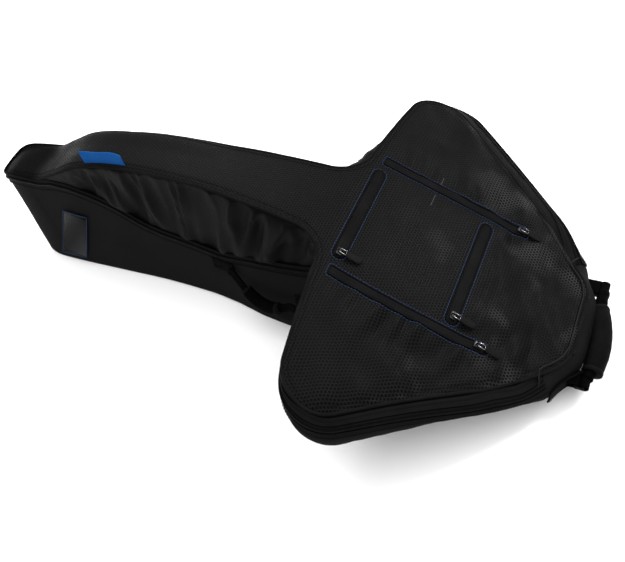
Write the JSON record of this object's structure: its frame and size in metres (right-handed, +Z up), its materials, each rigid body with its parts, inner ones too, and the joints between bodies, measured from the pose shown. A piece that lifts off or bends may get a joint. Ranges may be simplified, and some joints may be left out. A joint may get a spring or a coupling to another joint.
{
  "type": "padded gig bag",
  "caption": "Padded T-shaped soft case with a deep neck, two swept wings, zipped lid, zipped pockets and grab handles.",
  "frame": {"origin": "centre of the bag's bounding box in plan, on the ground it stands on", "axes": "+X along the bag from the neck's butt to the handle end, +Y towards the side without the carry handle, +Z up out of the lid"},
  "size_m": [1.0333, 0.566, 0.2876],
  "materials": {
    "lid_fabric": "embossed honeycomb laminate, slight sheen",
    "wall_fabric": "coarse ballistic nylon, matt",
    "lining": "thin plain lining cloth",
    "foam": "closed-cell foam sheet",
    "webbing": "woven nylon webbing",
    "binding": "woven binding tape",
    "zip": "woven coil-zip tape",
    "metal": "gunmetal plating, glossy",
    "rubber": "matt moulded rubber",
    "label": "woven blue label cloth",
    "window": "clear glossy vinyl"
  },
  "bodies": {
    "base": {"bottom_panel": "wall_fabric", "butt_wall": "wall_fabric", "side_wall_near": "wall_fabric", "side_wall_far": "wall_fabric", "wing_wall_near": "wall_fabric", "wing_wall_far": "wall_fabric", "wing_floor_near": "wall_fabric", "wing_floor_far": "wall_fabric", "handle_end_wall": "wall_fabric", "bottom_foam": "foam", "wing_foam_near": "foam", "wing_foam_far": "foam", "neck_foam_near": "foam", "neck_foam_far": "foam", "base_zip_tape_near": "zip", "base_zip_tape_far": "zip", "name_window": "window", "neck_strap": "webbing", "side_handle_patch_rear": "webbing", "side_handle_patch_front": "webbing", "end_handle_tab_near": "webbing", "end_handle_tab_far": "webbing"},
    "lid": {"lid_panel": "lid_fabric", "lid_foam": "foam", "edge_piping": "binding", "neck_gusset_near": "wall_fabric", "neck_gusset_far": "wall_fabric", "wing_gusset_near": "wall_fabric", "wing_gusset_far": "wall_fabric", "butt_gusset": "wall_fabric", "lid_zip_tape_near": "zip", "lid_zip_tape_far": "zip", "label_tab": "label", "pocket_zip_near": "zip", "pocket_zip_far": "zip", "pocket_zip_rear": "zip", "pocket_zip_front": "zip", "pocket_lining_rear": "lining", "pocket_lining_front": "lining"},
    "end_handle": {"end_handle_ring_near": "metal", "end_handle_ring_far": "metal", "end_handle_strap_near": "webbing", "end_handle_strap_far": "webbing", "end_handle_grip": "webbing"},
    "side_handle": {"side_handle_grip": "webbing", "side_handle_strap_rear": "webbing", "side_handle_strap_front": "webbing"},
    "main_slider": {"main_slider": "metal"},
    "main_pull": {"main_pull": "rubber"},
    "pocket_slider_near": {"pocket_slider_near": "metal"},
    "pocket_pull_near": {"pocket_pull_near": "rubber"},
    "pocket_slider_far": {"pocket_slider_far": "metal"},
    "pocket_pull_far": {"pocket_pull_far": "rubber"},
    "pocket_slider_rear": {"pocket_slider_rear": "metal"},
    "pocket_pull_rear": {"pocket_pull_rear": "rubber"},
    "pocket_slider_front": {"pocket_slider_front": "metal"},
    "pocket_pull_front": {"pocket_pull_front": "rubber"}
  },
  "joints": [
    {"name": "lid_fold", "type": "hinge", "parent": "base", "child": "lid", "pos_m": [0.4725, 0, 0.0795], "axis": [0, 1, 0], "range_deg": [0, 100]},
    {"name": "end_handle_swing", "type": "hinge", "parent": "base", "child": "end_handle", "pos_m": [0.481, 0, 0.042], "axis": [0, 1, 0], "range_deg": [-75, 75]},
    {"name": "side_handle_swing", "type": "hinge", "parent": "base", "child": "side_handle", "pos_m": [-0.03, -0.065, 0.1], "axis": [0.9615, -0.1849, -0.2034], "range_deg": [-110, 15]},
    {"name": "main_slider_run", "type": "slide", "parent": "base", "child": "main_slider", "axis": [-0.746, 0.5797, 0.3277], "range_m": [0, 0.134]},
    {"name": "main_pull_swing", "type": "hinge", "parent": "main_slider", "child": "main_pull", "pos_m": [0.37578, 0.18798, 0.09534], "axis": [-0.7896, 0.6136, 0], "range_deg": [-120, 0]},
    {"name": "pocket_slider_far_run", "type": "slide", "parent": "lid", "child": "pocket_slider_far", "axis": [-0.8854, 0, 0.4648], "range_m": [0, 0.2]},
    {"name": "pocket_pull_far_swing", "type": "hinge", "parent": "pocket_slider_far", "child": "pocket_pull_far", "pos_m": [0.36835, 0.1, 0.1265], "axis": [0, -1, 0], "range_deg": [0, 150]},
    {"name": "pocket_slider_near_run", "type": "slide", "parent": "lid", "child": "pocket_slider_near", "axis": [-0.8854, 0, 0.4648], "range_m": [0, 0.196]},
    {"name": "pocket_pull_near_swing", "type": "hinge", "parent": "pocket_slider_near", "child": "pocket_pull_near", "pos_m": [0.36495, -0.1, 0.12828], "axis": [0, -1, 0], "range_deg": [0, 150]},
    {"name": "pocket_slider_rear_run", "type": "slide", "parent": "lid", "child": "pocket_slider_rear", "axis": [0, 1, 0], "range_m": [0, 0.143]},
    {"name": "pocket_pull_rear_swing", "type": "hinge", "parent": "pocket_slider_rear", "child": "pocket_pull_rear", "pos_m": [0.18035, -0.0716, 0.22523], "axis": [0, -1, 0], "range_deg": [0, 150]},
    {"name": "pocket_slider_front_run", "type": "slide", "parent": "lid", "child": "pocket_slider_front", "axis": [0, 1, 0], "range_m": [0, 0.156]},
    {"name": "pocket_pull_front_swing", "type": "hinge", "parent": "pocket_slider_front", "child": "pocket_pull_front", "pos_m": [0.32735, -0.078, 0.148], "axis": [0, -1, 0], "range_deg": [0, 150]}
  ]
}
